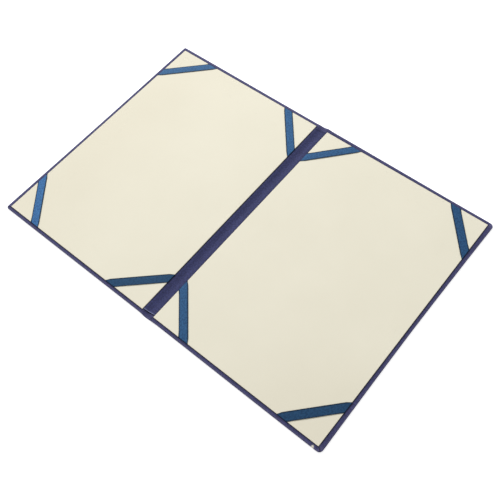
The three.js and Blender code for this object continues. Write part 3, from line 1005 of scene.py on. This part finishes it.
def liner_paper():
    """Smooth cream paper on card, with faint fibres, slightly soiled at its edges and where it is held."""
    n = Nodes("cream_paper")
    fibres = n.noise(n.scaled(n.plane, FIBRE_SCALE), 1.0, 5.0, 0.6)
    cloud = n.noise(n.plane, PAPER_CLOUD_SCALE, 3.0)
    colour = n.mix(n.ramp(n.blend(fibres, cloud, FIBRE_SHARE), 0.3, 0.7), CREAM, CREAM_LIGHT)
    colour = n.mix(n.maths("MULTIPLY", n.attribute("wear"), PAPER_WEAR), colour, CREAM_WORN)
    return n.surface({
        "Base Color": colour,
        "Roughness": 0.78,
        "Specular IOR Level": 0.3,
        "Normal": n.bump(fibres, 0.25, 0.03 * MM),
    })


SATIN_METAL = 0.3
SATIN_IOR = 1.6
SATIN_SPECULAR = 1.0
SATIN_TINT = srgb(135, 190, 235)
SATIN_ROUGHNESS = 0.68
SELVEDGE_ROUGHNESS = 0.8
SATIN_ANISOTROPY = 0.3
SATIN_BLUE = srgb(24, 53, 93)
SATIN_LIGHT = srgb(46, 88, 131)
SELVEDGE_BLUE_AND_SHADOW = srgb(8, 14, 34)
SELVEDGE_AND_SHADOW_SPAN = (0.74, 0.83)  # where the dark edge, partly selvedge and partly painted shadow, begins and is full, as shares of half the width
SELVEDGE_RIB = 0.5 * MM
STREAK_SCALE = (110, 4200, 1)
GRAIN_SCALE = (480, 640, 1)
STREAK_SHARE = 0.4


def satin():
    """Satin ribbon: fine warp threads along its length, dark long edges that are partly selvedge and partly
    painted shadow, and painted sheen.
    """
    n = Nodes("blue_satin")
    place = n.node("ShaderNodeSeparateXYZ", {0: n.plane})
    streaks = n.noise(n.scaled(n.plane, STREAK_SCALE), 1.0, 3.0, 0.6)
    grain = n.noise(n.scaled(n.plane, GRAIN_SCALE), 1.0, 2.0)
    colour = n.mix(n.ramp(n.blend(streaks, grain, STREAK_SHARE), 0.41, 0.59), SATIN_BLUE, SATIN_LIGHT)
    from_middle = n.maths("DIVIDE", n.maths("ABSOLUTE", place.outputs[1]), RIBBON_WIDTH / 2)
    # Dark along both long edges: partly the woven selvedge, partly painted shadow along the ribbon's edges.
    edge = n.ramp(from_middle, *SELVEDGE_AND_SHADOW_SPAN)
    # Each ribbon is painted lighter or darker by its painted sheen, in place of the satin's own highlight.
    with_painted_sheen = n.brightened(colour, n.attribute("painted_sheen"))
    tangent = n.node("ShaderNodeTangent", direction_type="UV_MAP", uv_map="cloth_plane")
    ribs = n.maths("SINE", n.maths("MULTIPLY", place.outputs[0], 2 * math.pi / SELVEDGE_RIB))
    edge_ribs = n.maths("MULTIPLY", ribs, edge)
    threads = n.bump(streaks, 0.4, 0.05 * MM)
    return n.surface({
        "Base Color": n.mix(edge, with_painted_sheen, SELVEDGE_BLUE_AND_SHADOW),
        "Roughness": n.ramp(edge, 0.0, 1.0, SATIN_ROUGHNESS, SELVEDGE_ROUGHNESS),
        "Metallic": n.ramp(edge, 0.0, 1.0, SATIN_METAL, 0.0),
        "IOR": SATIN_IOR,
        "Specular IOR Level": SATIN_SPECULAR,
        "Specular Tint": SATIN_TINT,
        "Anisotropic": SATIN_ANISOTROPY,
        "Tangent": tangent.outputs[0],
        "Normal": n.bump(edge_ribs, 0.5, 0.06 * MM, threads),
    })


BOARD_FLECK_SCALE = 2200.0
BOARD_GREY = srgb(128, 122, 110)
BOARD_LIGHT = srgb(152, 146, 133)


def raw_board():
    """Grey board, which the cloth and the liners cover."""
    n = Nodes("grey_board")
    place = n.node("ShaderNodeTexCoord").outputs["Object"]
    flecks = n.noise(place, BOARD_FLECK_SCALE, 4.0, 0.7)
    return n.surface({
        "Base Color": n.mix(n.ramp(flecks, 0.35, 0.65), BOARD_GREY, BOARD_LIGHT),
        "Roughness": 0.9,
        "Normal": n.bump(flecks, 0.3, 0.05 * MM),
    })


# Stage

FLOOR_SIDE = 8.0
FLOOR_COLOUR = (0.9, 0.9, 0.9, 1)
FLOOR_GLOW = 0.6
FLOOR_GAP = 0.05 * MM  # so that the floor doesn't lie in the same plane as the cloth
WHITE = (1, 1, 1, 1)
SKY_STRENGTH = 0.48
KEY_AZIMUTH = math.radians(147)  # from +X towards +Y
KEY_ELEVATION = math.radians(33)
KEY_DISTANCE = 3.6
KEY_SIDE = 1.0
KEY_POWER = 122


def white_floor():
    """A matt floor that keeps the object's shadow and is white where only the camera sees it."""
    mesh = bpy.data.meshes.new("floor")
    half = FLOOR_SIDE / 2
    corners = [(x, y, -FLOOR_GAP) for x, y in ((-half, -half), (half, -half), (half, half), (-half, half))]
    mesh.from_pydata(corners, [], [(0, 1, 2, 3)])
    n = Nodes("white_floor")
    seen = n.node("ShaderNodeLightPath").outputs["Is Camera Ray"]
    material = n.surface({
        "Base Color": FLOOR_COLOUR,
        "Roughness": 1.0,
        "Specular IOR Level": 0.0,
        "Emission Color": WHITE,
        "Emission Strength": n.maths("MULTIPLY", seen, FLOOR_GLOW),
    })
    mesh.materials.append(material)
    add_object("floor", mesh)


def white_world():
    """A white backdrop, dimmer as a light on the object than the camera sees it."""
    world = bpy.data.worlds.new("studio")
    bpy.context.scene.world = world
    world.use_nodes = True
    tree = world.node_tree
    background = tree.nodes["Background"]
    background.inputs["Color"].default_value = WHITE
    path = tree.nodes.new("ShaderNodeLightPath")
    mix = tree.nodes.new("ShaderNodeMix")
    mix.data_type = "FLOAT"
    mix.inputs["A"].default_value = SKY_STRENGTH
    mix.inputs["B"].default_value = 1.0
    tree.links.new(path.outputs["Is Camera Ray"], mix.inputs["Factor"])
    tree.links.new(mix.outputs["Result"], background.inputs["Strength"])


def key_light():
    """A square soft light that looks at the middle of the cover."""
    data = bpy.data.lights.new("key", "AREA")
    data.shape = "SQUARE"
    data.size = KEY_SIDE
    data.energy = KEY_POWER
    light = add_object("key", data)
    level = Vector((math.cos(KEY_AZIMUTH), math.sin(KEY_AZIMUTH), 0))
    direction = level * math.cos(KEY_ELEVATION) + Vector((0, 0, math.sin(KEY_ELEVATION)))
    light.location = direction * KEY_DISTANCE
    light.rotation_mode = "QUATERNION"
    light.rotation_quaternion = (-direction).to_track_quat("-Z", "Y")


def photo_camera():
    """The camera that the photograph's straight edges fit."""
    data = bpy.data.cameras.new("camera")
    data.sensor_width = SENSOR_WIDTH_MM
    data.lens = FOCAL_PX / IMAGE_SIDE_PX * SENSOR_WIDTH_MM
    data.clip_start = VIEW_NEAR
    data.clip_end = VIEW_FAR
    camera = add_object("camera", data)
    level = Vector((math.cos(VIEW_AZIMUTH), math.sin(VIEW_AZIMUTH), 0))
    back = Vector(
        (
            math.sin(VIEW_AZIMUTH) * math.cos(VIEW_ELEVATION),
            -math.cos(VIEW_AZIMUTH) * math.cos(VIEW_ELEVATION),
            math.sin(VIEW_ELEVATION),
        )
    )
    upright = back.cross(level)
    right = level * math.cos(VIEW_ROLL) + upright * math.sin(VIEW_ROLL)
    up = upright * math.cos(VIEW_ROLL) - level * math.sin(VIEW_ROLL)
    turn = Matrix((right, up, back)).transposed().to_4x4()
    camera.matrix_world = Matrix.Translation(VIEW_AIM + back * VIEW_DISTANCE) @ turn
    bpy.context.scene.camera = camera


# Everything in its place

photo_camera()
bpy.context.scene.view_settings.view_transform = "Standard"
white_world()
key_light()
white_floor()

cover_material = bookcloth("violet_bookcloth", VIOLET, VIOLET_LIGHT, VIOLET_WORN_AND_LIT, fleck=True)
strip_material = bookcloth("violet_strip_cloth", STRIP_VIOLET, STRIP_LIGHT, CUT_EDGE_FRAY_AND_HIGHLIGHT)
paper_material = liner_paper()
satin_material = satin()
board_material = raw_board()

for cover, side in (("back", 1), ("front", -1)):
    body = f"{cover}_cover"

    cloth = cover_cloth(f"{cover}_bookcloth", side)
    cloth.data.materials.append(cover_material)
    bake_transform(cloth)
    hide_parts(f"{cover}_cover_cloth", *(["spine_cloth"] if cover == "back" else []))

    strip = spine_strip(f"{cover}_spine_lining", side)
    strip.data.materials.append(strip_material)
    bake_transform(strip)
    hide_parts(f"{cover}_strip_edge", *(["spine_strip"] if cover == "back" else []))

    panel = liner(f"{cover}_liner_panel", side, seed=1.0 + side)
    panel.data.materials.append(paper_material)
    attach(panel, body)
    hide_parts(f"{cover}_liner")

    board_materials = frame["nodes"][f"{cover}_board"].data.materials
    board_materials.clear()
    board_materials.append(board_material)

for place, values in RIBBONS.items():
    band, cut_length = ribbon(place, values)
    band.data.materials.append(satin_material)
    cover = place.split("_")[0]
    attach(band, f"{cover}_cover")
    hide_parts(f"{place}_ribbon")
